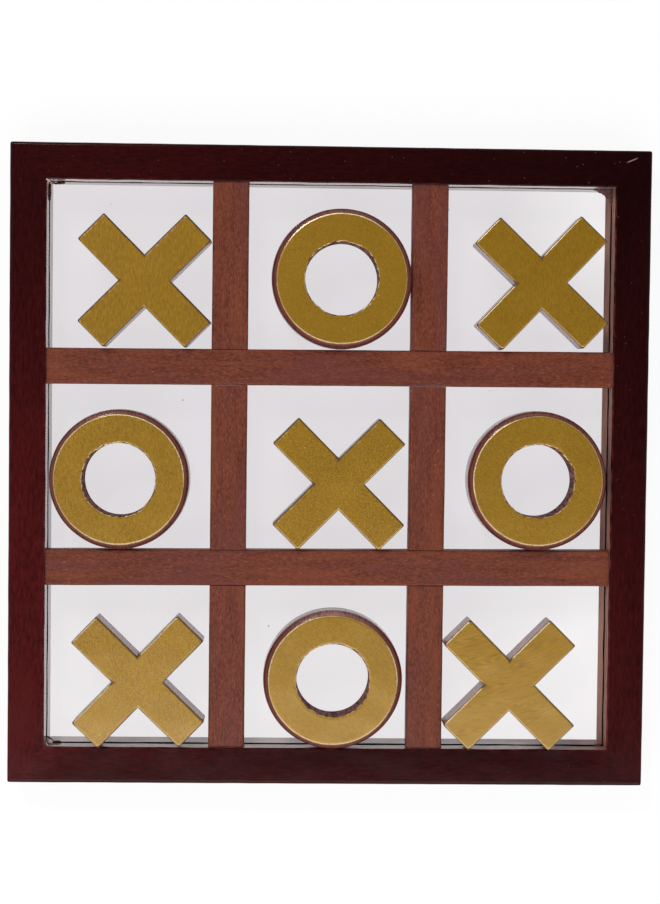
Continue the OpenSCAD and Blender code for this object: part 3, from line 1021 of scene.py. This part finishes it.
def cross_slab(name, plan, corner, step, levels, shape):
    """Solid X whose side steps down through levels of inset, height and worn share; shape sets each point."""
    stops = plan.stops(max(corner, levels[0][0] + RIM_ROOM), step)
    mesh = bmesh.new()
    share = mesh.verts.layers.float.new("worn")
    tip = corner * (1 - math.sqrt(0.5))

    def plan_point(x, y):
        ends = sorted((abs(x), abs(y)))
        if math.isclose(ends[0], plan.half_width) and math.isclose(ends[1], plan.half_length):
            return Vector((x - math.copysign(tip, x), y - math.copysign(tip, y)))
        return Vector((x, y))

    def key_of(point):
        return round(point.x, 7), round(point.y, 7)

    def sheet(height, rim):
        """Flat sheet of quads over the plan, which uses the vertices of a rim where it meets them."""
        grid = {}

        def corner_of(i, j):
            if (i, j) not in grid:
                point = plan_point(stops[i], stops[j])
                grid[i, j] = rim.get(key_of(point)) or mesh.verts.new((*point, height))
            return grid[i, j]

        cells = range(len(stops) - 1)
        middles = [abs(stops[i] + stops[i + 1]) / 2 for i in cells]
        for i in cells:
            for j in cells:
                if min(middles[i], middles[j]) < plan.half_width:
                    around = ((i, j), (i + 1, j), (i + 1, j + 1), (i, j + 1))
                    mesh.faces.new([corner_of(*cell) for cell in around])

    sheet(levels[0][1], {})
    for vertex in mesh.verts:
        vertex[share] = levels[0][2]
    rows = [rim_loop(mesh)]
    outline = [vertex.co.xy.copy() for vertex in rows[0]]
    normals = loop_normals(outline)
    for inset, height, worn in levels[1:]:
        row = [mesh.verts.new((*(p - n * inset), height)) for p, n in zip(outline, normals)]
        for vertex in row:
            vertex[share] = worn
        rows.append(row)
    for first, second in zip(rows, rows[1:]):
        join_rows(mesh, first, second)
    sheet(levels[-1][1], {key_of(point): vertex for point, vertex in zip(outline, rows[-1])})
    for vertex, point, normal in zip(rows[0], outline, normals):
        vertex.co.xy = point - normal * levels[0][0]
    spin = about_z(plan.turn)
    for vertex in mesh.verts:
        vertex.co = shape(plan.centre + spin @ vertex.co)
    return finish_mesh(name, mesh)


def eased_levels(low, high, easing, inset, width, drop):
    """Side of a slab from its rounded, worn upper edge down: inset, height and worn share of each level."""
    levels = []
    for sine, cosine in quarter_turn(ROUNDING_STEPS):
        levels.append((inset + width * (1 - sine), high - drop * (1 - cosine), 1))
    return levels + [(inset, low + easing, 0), (inset + easing, low, 0)]


def ragged(point, amount):
    """The point moved as an edge of brushed paint is: in waves and small nicks."""
    wave = noise.noise_vector(point / (2.2 * MM)) * amount
    nick = noise.noise_vector(point / (0.8 * MM)) * amount * 0.8
    return point + Vector((wave.x + nick.x, wave.y + nick.y, 0))


class BOARD_OT_crosses(bpy.types.Operator):
    """Builds the five X pieces, each a wooden core with a gold face"""

    bl_idname = "board.crosses"
    bl_label = "X pieces"

    # Direction of the brush on each X in degrees, how far it is combed, how its lines bow and how coarse
    # they are
    BRUSH = {
        "top_left": (90, 0.75, 0, 0.7), "top_right": (92, 0.5, 0, 0.6), "centre": (90, 0.15, 0, 0.9),
        "bottom_left": (91, 0.2, 0, 1.0), "bottom_right": (15, 1.0, 5, 0.25),
    }
    # Painted light on the gold's edges that face upper right, upper left, lower left and lower right: 1 is a
    # painted highlight on a rubbed edge, and -1 is gold worn down to dark wood, partly painted shade
    WEAR = {
        "top_left": (-0.9, -0.7, 0.0, -0.5), "top_right": (-0.5, 0.4, 0.0, 0.1),
        "centre": (-0.7, -0.7, 0.0, 0.1), "bottom_left": (-0.6, 0.6, 0.0, -0.5),
        "bottom_right": (-0.3, 0.7, 0.0, 0.0),
    }
    # Direction of the wood's grain, in degrees
    GRAIN = 45
    # Spacing of the points over the wood and over the gold
    WOOD_STEP = 2 * MM
    GOLD_STEP = 0.9 * MM
    # Rounding of the wood's upper edges, and how far down they are dark
    WOOD_EDGE = 0.1 * MM
    DARK_DEPTH = 0.45 * MM
    # Raggedness of the gold's edges, as a share of that at the hole of an O
    RAGGED_SHARE = 0.16

    def execute(self, context):
        sizes = context.scene.board_sizes
        colours = context.scene.board_colours
        for seed, place in enumerate(CROSS_PLACES, FIRST_GRAIN["crosses"]):
            core_node, face_node = f"x_core_{place}", f"x_face_{place}"
            plan = CrossPlan(core_node)
            core = self.core(f"x_wood_{place}", plan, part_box(core_node), sizes)
            store_grain(core, self.GRAIN, plan.centre, seed)
            # Painted shade in the upper and left inner corners
            store_share(core, "stained", plan.in_shaded_notch)
            dress(core, shared(cross_wood, colours), f"x_{place}", "piece_wood", core_node)
            face = self.face(f"x_gold_{place}", plan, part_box(face_node), self.WEAR[place], sizes)
            store_brush(face, self.BRUSH[place], plan.centre, seed)
            dress(face, shared(gold_paint, colours), f"x_{place}", "gold_face", face_node)
        return {"FINISHED"}

    def core(self, name, plan, box, sizes):
        """Wooden X with dark upper edges."""
        low, high = box
        edge = self.WOOD_EDGE
        levels = eased_levels(low.z + SEAT_GAP, high.z, sizes.piece_easing, 0, edge, edge)
        levels.insert(-2, (0, high.z - self.DARK_DEPTH, 0))
        corner = sizes.piece_corner
        return cross_slab(
            name, plan, corner, self.WOOD_STEP, levels, lambda point: sanded(point, sizes.wood_wobble)
        )

    def face(self, name, plan, box, wear, sizes):
        """Gold X with worn and ragged edges, with painted highlight and painted shade along them by the way
        they face.
        """
        low, high = box
        levels = eased_levels(low.z, high.z, HAIR, sizes.gold_inset, sizes.cross_bead, sizes.gold_edge)
        face = cross_slab(name, plan, sizes.gold_corner, self.GOLD_STEP, levels, Vector)
        # Painted highlight and painted shade on the gold's edges, by the way each faces
        scale_worn(face, lambda point: plan.edge_wear(point, wear))
        for vertex in face.data.vertices:
            point = sanded(plan.drawn_back(vertex.co, wear, sizes.gold_wear), sizes.wood_wobble)
            vertex.co = ragged(point, sizes.gold_wobble * self.RAGGED_SHARE)
        return face


class BOARD_OT_noughts(bpy.types.Operator):
    """Builds the four O pieces, each a wooden ring with a rounded rim and a gold face"""

    bl_idname = "board.noughts"
    bl_label = "O pieces"

    # Direction of the brush on each O in degrees, how far it is combed, how its lines bow and how coarse
    # they are
    BRUSH = {
        "top_middle": (90, 0.1, 0, 0.3), "middle_left": (97, 0.45, 2, 0.9),
        "middle_right": (128, 0.35, 0, 0.8), "bottom_middle": (140, 0.5, 0, 0.8),
    }
    # Arcs of the gold's rim with a painted highlight, where a lamp would shine: middle and half spread in
    # degrees, anticlockwise from the right, and strength
    BRIGHT = {
        "top_middle": ((100, 55, 1.0),), "middle_left": ((45, 52, 0.8), (150, 25, 0.5)),
        "middle_right": ((155, 50, 0.7),), "bottom_middle": ((150, 38, 0.6), (15, 22, 0.7)),
    }
    # Arc of each wooden rim with a painted highlight, pale pink where a lamp would shine: middle and half
    # spread in degrees, and strength
    WOOD_RIM_HIGHLIGHTS = {
        "top_middle": (95, 40, 0.25), "middle_left": (100, 50, 0.5),
        "middle_right": (100, 40, 0.3), "bottom_middle": (92, 48, 0.9),
    }
    # Sections round a ring, steps over its rounded rim, and direction of its wood's grain in degrees
    TURNS = 288
    RIM_STEPS = 8
    GRAIN = 90
    # Spacing of the points on the wood's underside, sides and top, and on the gold
    BASE_STEP = 3 * MM
    SIDE_STEP = 2 * MM
    TOP_STEP = 2.4 * MM
    GOLD_STEP = 0.9 * MM
    # Rounding of the hole's upper edge in the wood, and the bevel in the middle of it
    HOLE_EDGE = 0.25 * MM
    HOLE_BEVEL = 0.07 * MM
    # The wood is sawn this far out from the hole
    SAWN_REACH = 0.3 * MM
    # How far the flat top of the wood stops short of the gold's edge, and the gold short of its packed edge
    CROWN_INSET = 0.6 * MM
    RIM_INSET = 0.04 * MM
    # Painted highlight on the gold at the hole, in bright flecks, worn-dark flecks and a plainer line, and
    # along the outermost line of its rim
    HOLE_BRIGHT, HOLE_WORN, HOLE_PLAIN = 0.6, -0.8, 0.3
    RIM_GLOW = 0.3
    RIM_LINE = 0.3 * MM
    # Width of the rim that can carry the painted highlight, and the share of its height
    HIGHLIGHT_WIDTH = 3 * MM
    HIGHLIGHT_HEIGHT = 0.8
    # Width of the gold's ragged edges, and how ragged the rim is beside the hole
    RAGGED_WIDTH = 1.5 * MM
    RIM_SHARE = 0.12

    def execute(self, context):
        sizes = context.scene.board_sizes
        colours = context.scene.board_colours
        for seed, place in enumerate(NOUGHT_PLACES, FIRST_GRAIN["noughts"]):
            core_node, face_node = f"o_core_{place}", f"o_face_{place}"
            low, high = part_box(core_node)
            face_low, face_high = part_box(face_node)
            centre = plan_centre(low, high)
            hole = min(point.xy.length for point in node_points(core_node, centre))
            outer = (high.x - low.x) / 2
            gold_outer = (face_high.x - face_low.x) / 2

            section = self.wood_section(hole, outer, gold_outer, low.z + SEAT_GAP, high.z, sizes)
            rings = self.spun(section, centre, lambda point: sanded(point, sizes.wood_wobble))
            sawn = hole + self.SAWN_REACH
            parts = [int(max(start[0], end[0]) < sawn) for start, end in round_pairs(section)]
            core = skin_rings(f"o_wood_{place}", rings, loop=True, parts=parts)
            store_grain(core, self.GRAIN, centre, seed)
            rim_foot = high.z - sizes.rim_drop * self.HIGHLIGHT_HEIGHT
            # Painted highlight on the wooden rim, in one arc
            rim_arc = self.WOOD_RIM_HIGHLIGHTS[place]
            store_share(core, "scuffed", lambda point: self.scuffed(point - centre, rim_arc, outer, rim_foot))
            dress(core, shared(nought_wood, colours), f"o_{place}", "piece_wood", core_node)
            core.data.materials.append(shared(sawn_wood, colours))

            section = self.gold_section(hole, gold_outer, face_low.z, face_high.z, sizes)
            edges = (hole, gold_outer)
            rings = self.spun(section, centre, lambda point: self.brushed(point, centre, edges, sizes))
            worn = [int(height < face_high.z - HAIR) for _, height in section]
            face = skin_rings(f"o_gold_{place}", rings, loop=True, worn=worn)
            store_brush(face, self.BRUSH[place], centre, seed)
            # Painted highlight on the gold's rim, in arcs where a lamp would shine
            arcs = self.BRIGHT[place]
            scale_worn(face, lambda point: self.rub_and_highlight(point - centre, arcs, edges))
            dress(face, shared(gold_paint, colours), f"o_{place}", "gold_face", face_node)
        return {"FINISHED"}

    def spun(self, section, centre, shape):
        """A half section turned about an upright line through the centre; shape places each point."""
        rings = []
        for step in range(self.TURNS):
            angle = 2 * math.pi * step / self.TURNS
            out = Vector((math.cos(angle), math.sin(angle), 0))
            ring = [centre + out * radius + Vector((0, 0, height)) for radius, height in section]
            rings.append([shape(point) for point in ring])
        return rings

    def wood_section(self, hole, outer, crown, low, high, sizes):
        """Half section of the wooden ring: radius and height of each point."""
        easing = sizes.piece_easing
        drop = sizes.rim_drop
        inset = outer - crown
        bend = (inset ** 2 + drop ** 2) / (2 * inset)
        sweep = math.asin(drop / bend)
        edge, bevel = self.HOLE_EDGE, self.HOLE_BEVEL
        section = [(hole, low + easing), (hole + easing, low)]
        section += [(r, low) for r in even_stops(hole + easing, outer - easing, self.BASE_STEP)[1:]]
        section += [(outer, z) for z in even_stops(low + easing, high - drop, self.SIDE_STEP)]
        for step in range(1, self.RIM_STEPS + 1):
            angle = sweep * step / self.RIM_STEPS
            section.append((outer - bend + bend * math.cos(angle), high - drop + bend * math.sin(angle)))
        section += [(r, high) for r in even_stops(crown - self.CROWN_INSET, hole + edge, -self.TOP_STEP)]
        section += [(hole + bevel, high - bevel), (hole, high - edge)]
        section += [(hole, z) for z in even_stops(high - edge, low + easing, -self.SIDE_STEP)[1:-1]]
        return section

    def gold_section(self, hole, outer, low, high, sizes):
        """Half section of the gold: a thin flat ring with a rounded upper edge."""
        drop = sizes.gold_edge
        side = hole + sizes.hole_inset
        rim = outer - self.RIM_INSET
        bead, hole_bead = sizes.nought_bead, sizes.hole_bead
        section = [(side, low), (rim, low)]
        for sine, cosine in quarter_turn(ROUNDING_STEPS + 1):
            section.append((rim - bead * (1 - cosine), high - drop * (1 - sine)))
        section += [(r, high) for r in even_stops(rim - bead, side + hole_bead, -self.GOLD_STEP)[1:-1]]
        for sine, cosine in quarter_turn(ROUNDING_STEPS):
            section.append((side + hole_bead * (1 - sine), high - drop * (1 - cosine)))
        return section

    def brushed(self, point, centre, edges, sizes):
        """Point of the gold, ragged at its two edges and most at the hole."""
        hole, outer = edges
        radius = (point - centre).xy.length
        at_hole = max(0, 1 - (radius - hole) / self.RAGGED_WIDTH)
        at_rim = max(0, 1 - (outer - radius) / self.RAGGED_WIDTH)
        amount = sizes.gold_wobble * max(at_hole, at_rim * self.RIM_SHARE)
        return ragged(sanded(point, sizes.wood_wobble), amount)

    def away(self, point, middle):
        """Angle in plan between a point's direction and the middle of an arc, in degrees."""
        turn = math.degrees(math.atan2(point.y, point.x))
        return abs((turn - middle + 180) % 360 - 180)

    def rub_and_highlight(self, point, arcs, edges):
        """Wear and painted highlight of the gold's edge at a place: flecked at the hole, and on the rim a
        painted highlight, brightest in its arcs.
        """
        hole, outer = edges
        radius = point.xy.length
        if radius < (hole + outer) / 2:
            fleck = noise.noise(point / FLECK_SIZE)
            if fleck > 0.15:
                return self.HOLE_BRIGHT
            return self.HOLE_WORN if fleck < -0.2 else self.HOLE_PLAIN
        glows = [self.RIM_GLOW if radius > outer - self.RIM_LINE else 0]
        for middle, spread, strength in arcs:
            glows.append(strength * max(0, min(1, 3 - 3 * (self.away(point, middle) / spread))))
        return max(glows)

    def scuffed(self, point, arc, outer, foot):
        """Strength of the painted highlight at a place: only on the rounded rim, within its arc."""
        if point.z < foot or point.xy.length < outer - self.HIGHLIGHT_WIDTH:
            return 0
        middle, spread, strength = arc
        return strength * max(0, 1 - self.away(point, middle) / spread)


class BOARD_OT_glue(bpy.types.Operator):
    """Lays the dried glue that was squeezed out in the corners of the frame"""

    bl_idname = "board.glue"
    bl_label = "Dried glue"

    # Name, corner, thickness and paleness of each bead, and its path in millimetres:
    # inwards from the two inner walls of the corner, and up from the upper face of the pane
    BEADS = (
        (
            "top_left_bead", (-1, 1), 0.5, 0.0,
            ((1.2, 0.6, 0.3), (2.6, 0.9, 0.2), (4.0, 0.7, 0.2), (6.4, 0.5, 0.2)),
        ),
        ("top_left_line", (-1, 1), 0.45, 0.0, ((0.4, 1.0, 0.3), (0.3, 3.5, 0.3), (0.2, 7.8, 0.2))),
        ("top_left_corner", (-1, 1), 0.45, 1.0, ((0.3, 0.3, 0.4), (0.2, 0.2, 4.0), (0.0, 0.1, 8.0))),
        ("bottom_left_bead", (-1, -1), 0.55, 0.0, ((2.6, 0.5, 0.3), (4.2, 0.4, 0.4), (5.8, 0.4, 0.3))),
        (
            "bottom_left_glob", (-1, -1), 0.7, 1.0,
            ((0.2, 1.6, 0.6), (0.9, 1.0, 1.0), (1.3, 0.4, 2.2), (2.3, 0.3, 1.0)),
        ),
        ("bottom_left_string", (-1, -1), 0.35, 1.0, ((0.3, 0.6, 2.2), (0.5, 0.3, 4.6), (1.6, 0.1, 6.4))),
        ("bottom_left_upper_edge", (-1, -1), 0.25, 0.0, ((0.1, 2.7, 0.2), (1.3, 1.9, 0.2), (2.9, 0.9, 0.2))),
        ("bottom_left_lower_edge", (-1, -1), 0.30, 0.0, ((0.1, 0.1, 3.0), (1.0, 0.1, 3.4), (2.0, 0.1, 2.6))),
        ("bottom_right_bead", (1, -1), 0.6, 0.0, ((0.4, 0.4, 0.4), (1.6, 0.3, 0.4), (3.2, 0.2, 0.3))),
    )
    # Points round a bead, spacing of its rings, size of its lumps and their height beside its thickness
    BEAD_SIDES = 12
    BEAD_STEP = 0.35 * MM
    LUMP_SIZE = 0.9 * MM
    LUMP_SHARE = 0.4
    # Height of each outline of the smear above the pane in mm, and the share by which it is drawn in
    SMEAR_LEVELS = ((0.02, 0.0), (0.25, 0.05), (0.4, 0.3))
    # Steps along the smear's edge, its reach along both rails, paleness, overlap with the rails and nicks
    SMEAR_STEPS = 23
    SMEAR_REACH = Vector((12, 8.5, 0)) * MM
    SMEAR_PALE = 0.05
    SMEAR_OVERLAP = 0.1 * MM
    SMEAR_NICK = 0.45 * MM

    def execute(self, context):
        finish = shared(dried_glue, context.scene.board_colours)
        for seed, bead in enumerate(self.BEADS, FIRST_GRAIN["glue"]):
            name, corner, thickness, pale, path = bead
            points = [self.place(corner, point) for point in path]
            self.lay(f"glue_{name}", self.rings(points, thickness * MM), pale, seed, finish)
        seed = FIRST_GRAIN["smear"]
        self.lay("glue_top_right_smear", self.smear_rings(), self.SMEAR_PALE, seed, finish)
        return {"FINISHED"}

    def lay(self, name, rings, pale, seed, finish):
        """One lump of glue, with its paleness kept as worn."""
        lump = skin_rings(name, rings, worn=[pale] * len(rings[0]))
        store_grain(lump, 0, Vector(), seed)
        dress(lump, finish, "board", "frame_lacquer")

    def smear_rings(self):
        """Outlines of the ragged smear on the pane in the top right corner, from the glass up."""
        reach = self.SMEAR_REACH
        across = OPENING_HALF + self.SMEAR_OVERLAP
        made = []
        for up, drawn_in in self.SMEAR_LEVELS:
            corner = Vector((across, across, PANE_HIGH.z + up * MM))
            ring = [corner]
            for sine, cosine in quarter_turn(self.SMEAR_STEPS):
                edge = corner + Vector(((sine - 1) * reach.x, (cosine - 1) * reach.y, 0)) * (1 - drawn_in)
                nick = noise.noise(Vector((edge.x, edge.y, 0)) / self.LUMP_SIZE) * self.SMEAR_NICK
                ring.append(edge + Vector((nick, nick, 0)))
            made.append(ring)
        return made

    def place(self, corner, point):
        """A point of a path, set out from a corner of the opening."""
        inwards, along, up = (value * MM for value in point)
        x = corner[0] * (OPENING_HALF - inwards)
        y = corner[1] * (OPENING_HALF - along)
        return Vector((x, y, PANE_HIGH.z + up))

    def rings(self, path, thickness):
        """Lumpy rings round a path, thinner towards its ends."""
        points = path[:1]
        for start, end in zip(path, path[1:]):
            shares = even_stops(0, 1, self.BEAD_STEP / (end - start).length)
            points += [start.lerp(end, share) for share in shares[1:]]
        made = []
        for i, point in enumerate(points):
            ahead = points[min(i + 1, len(points) - 1)] - points[max(i - 1, 0)]
            turn = ahead.to_track_quat("Z", "Y")
            bulge = 0.4 + 0.6 * math.sqrt(abs(math.sin(math.pi * i / (len(points) - 1))))
            ring = []
            for step in range(self.BEAD_SIDES):
                angle = math.pi * step / (self.BEAD_SIDES / 2)
                out = turn @ Vector((math.cos(angle), math.sin(angle), 0))
                placed = point + out * thickness * bulge
                ring.append(sanded(placed, thickness * self.LUMP_SHARE, self.LUMP_SIZE))
            made.append(ring)
        return made


# Studio


class BOARD_OT_studio(bpy.types.Operator):
    """Lays a pale floor, hangs the lamps and sets the camera"""

    bl_idname = "board.studio"
    bl_label = "Studio"

    # Half the floor's width, and how far it lies below the board's underside
    FLOOR_HALF = 4.0
    FLOOR_GAP = 0.02 * MM
    # Painted pools of light on the floor under the pane, and the distance at which each ends
    PAINTED_LIGHT_SPOTS = (((0.125, -0.10, 0), 0.08), ((0.125, 0.11, 0), 0.055))
    # Name, place, target and size of each lamp
    LAMPS = (
        ("low_softbox", (-0.03, -0.80, 1.15), (0, -0.02, 0), (1.5, 0.8)),
        ("key_softbox", (-0.42, 0.80, 1.15), (0, 0, 0), (0.20, 0.20)),
    )
    # Direction in which the room is dimmest, and its brightness from square to that direction to along it
    DIM_SIDE = Vector((0.12, 0.20, 1)).normalized()
    ROOM_STOPS = ((0.0, 1.0), (0.55, 1.0), (0.75, 0.75), (0.87, 0.40), (0.95, 0.08), (0.99, 0.03))
    # Place of the camera, its turn in degrees, and its lens and sensor in mm
    CAMERA_PLACE = (-0.0178, 0.0301, 0.6945)
    CAMERA_TURN = (-2.056, -1.505, 0.6575)
    CAMERA_LENS = 67.523
    CAMERA_SENSOR = 36.0

    def execute(self, context):
        scene = context.scene
        self.lay_floor(scene)
        self.light_room(scene)
        for name, place, target, size in self.LAMPS:
            self.hang_lamp(scene, name, place, target, size)
        self.set_camera(scene)
        scene.view_settings.view_transform = "Standard"
        return {"FINISHED"}

    def lay_floor(self, scene):
        half = self.FLOOR_HALF
        data = bpy.data.meshes.new("floor")
        corners = [(-half, -half, 0), (half, -half, 0), (half, half, 0), (-half, half, 0)]
        data.from_pydata(corners, [], [(0, 1, 2, 3)])
        floor = bpy.data.objects.new("floor", data)
        scene.collection.objects.link(floor)
        floor.location.z = -self.FLOOR_GAP
        make = Finish("studio_floor")
        fleck = make.spread(make.cloud(make.place(3, 3, 3)), 0.3, 0.7, 0, 0.05)
        make.shade(Base_Color=make.blend(fleck, scene.board_colours.floor, (0.90, 0.89, 0.90)))
        make.shade(Roughness=0.9, Specular_IOR_Level=0.1)
        shown = self.shown_colour(make, scene.board_colours.pane_shadow)
        glow = make.node("ShaderNodeEmission", {"Color": shown, "Strength": 1.0})
        path = make.node("ShaderNodeLightPath").outputs
        seen = make.calc("MAXIMUM", path["Is Camera Ray"], path["Is Glossy Ray"])
        seen = make.calc("MAXIMUM", seen, path["Is Transmission Ray"])
        share = make.times(seen, scene.board_light.floor_glow)
        make.show("Material Output", share, make.shader, glow)
        data.materials.append(make.material)

    def shown_colour(self, make, pane_shadow):
        """Colour of the floor: white round the board, with a painted shadow under the pane that lightens
        towards the lower rail and in painted pools of light at its right corners
        """
        place = make.place(1, 1, 1)
        x, y, _ = make.node("ShaderNodeSeparateXYZ", {0: place}).outputs
        # Painted light on the shadow under the pane, more towards the lower rail
        painted_light = make.spread(y, -0.03, -0.10, 0, 0.60)
        painted_light = make.calc("ADD", make.spread(y, 0.11, -0.02, -0.05, 0.02), painted_light)
        for spot, reach in self.PAINTED_LIGHT_SPOTS:
            away = make.vector("DISTANCE", place, spot)
            painted_light = make.calc("ADD", painted_light, make.spread(away, 0.02, reach, 1.0, 0))
        out = make.calc("MAXIMUM", make.calc("ABSOLUTE", x, 0.0), make.calc("ABSOLUTE", y, 0.0))
        round_board = make.calc("GREATER_THAN", out, BOARD_HALF - RAIL_WIDTH / 2)
        return make.blend(make.calc("MAXIMUM", painted_light, round_board), pane_shadow, (1, 1, 1))

    def light_room(self, scene):
        """Soft light from white walls, dim overhead and towards the upper rail, where the camera stands."""
        world = bpy.data.worlds.new("studio_room")
        world.use_nodes = True
        scene.world = world
        make = Nodes(world.node_tree)
        place = make.node("ShaderNodeTexCoord").outputs["Generated"]
        ramp = make.node("ShaderNodeValToRGB", {0: make.vector("DOT_PRODUCT", place, self.DIM_SIDE)})
        elements = ramp.color_ramp.elements
        for index, (position, level) in enumerate(self.ROOM_STOPS):
            element = elements[index] if index < 2 else elements.new(position)
            element.position = position
            element.color = (level, level, level, 1)
        back = make.tree.nodes["Background"]
        make.feed(back.inputs["Color"], ramp.outputs[0])
        make.feed(back.inputs["Strength"], scene.board_light.room)
        walls = make.node("ShaderNodeBackground", {"Color": (1, 1, 1, 1)})
        camera_ray = make.node("ShaderNodeLightPath").outputs["Is Camera Ray"]
        make.show("World Output", camera_ray, back, walls)

    def hang_lamp(self, scene, name, place, target, size):
        lamp = bpy.data.lights.new(name, "AREA")
        lamp.shape = "RECTANGLE"
        lamp.size, lamp.size_y = size
        lamp.energy = getattr(scene.board_light, name)
        hung = bpy.data.objects.new(name, lamp)
        scene.collection.objects.link(hung)
        hung.location = place
        hung.rotation_euler = (Vector(target) - Vector(place)).to_track_quat("-Z", "Y").to_euler()

    def set_camera(self, scene):
        lens = bpy.data.cameras.new("camera")
        lens.lens = self.CAMERA_LENS
        lens.sensor_width = self.CAMERA_SENSOR
        camera = bpy.data.objects.new("camera", lens)
        scene.collection.objects.link(camera)
        camera.location = self.CAMERA_PLACE
        camera.rotation_euler = Euler([math.radians(turn) for turn in self.CAMERA_TURN], "XYZ")
        scene.camera = camera


class BOARD_PT_pieces(bpy.types.Panel):
    """Lists the steps that build the board"""

    bl_label = "Noughts and crosses board"
    bl_idname = "BOARD_PT_pieces"
    bl_space_type = "VIEW_3D"
    bl_region_type = "UI"
    bl_category = "Board"

    def draw(self, context):
        for step in STEPS:
            self.layout.operator(step.bl_idname)


STEPS = (
    BOARD_OT_frame_rails,
    BOARD_OT_glass_pane,
    BOARD_OT_grid_strips,
    BOARD_OT_crosses,
    BOARD_OT_noughts,
    BOARD_OT_glue,
    BOARD_OT_studio,
)
CLASSES = (BoardSizes, BoardColours, StudioLight, *STEPS, BOARD_PT_pieces)


def register():
    noise.seed_set(NOISE_SEED)
    for item in CLASSES:
        bpy.utils.register_class(item)
    bpy.types.Scene.board_sizes = PointerProperty(type=BoardSizes)
    bpy.types.Scene.board_colours = PointerProperty(type=BoardColours)
    bpy.types.Scene.board_light = PointerProperty(type=StudioLight)


def unregister():
    del bpy.types.Scene.board_light
    del bpy.types.Scene.board_colours
    del bpy.types.Scene.board_sizes
    for item in reversed(CLASSES):
        bpy.utils.unregister_class(item)


def main():
    register()
    bpy.ops.board.frame_rails()
    bpy.ops.board.glass_pane()
    bpy.ops.board.grid_strips()
    bpy.ops.board.crosses()
    bpy.ops.board.noughts()
    bpy.ops.board.glue()
    bpy.ops.board.studio()


if __name__ == "__main__":
    main()
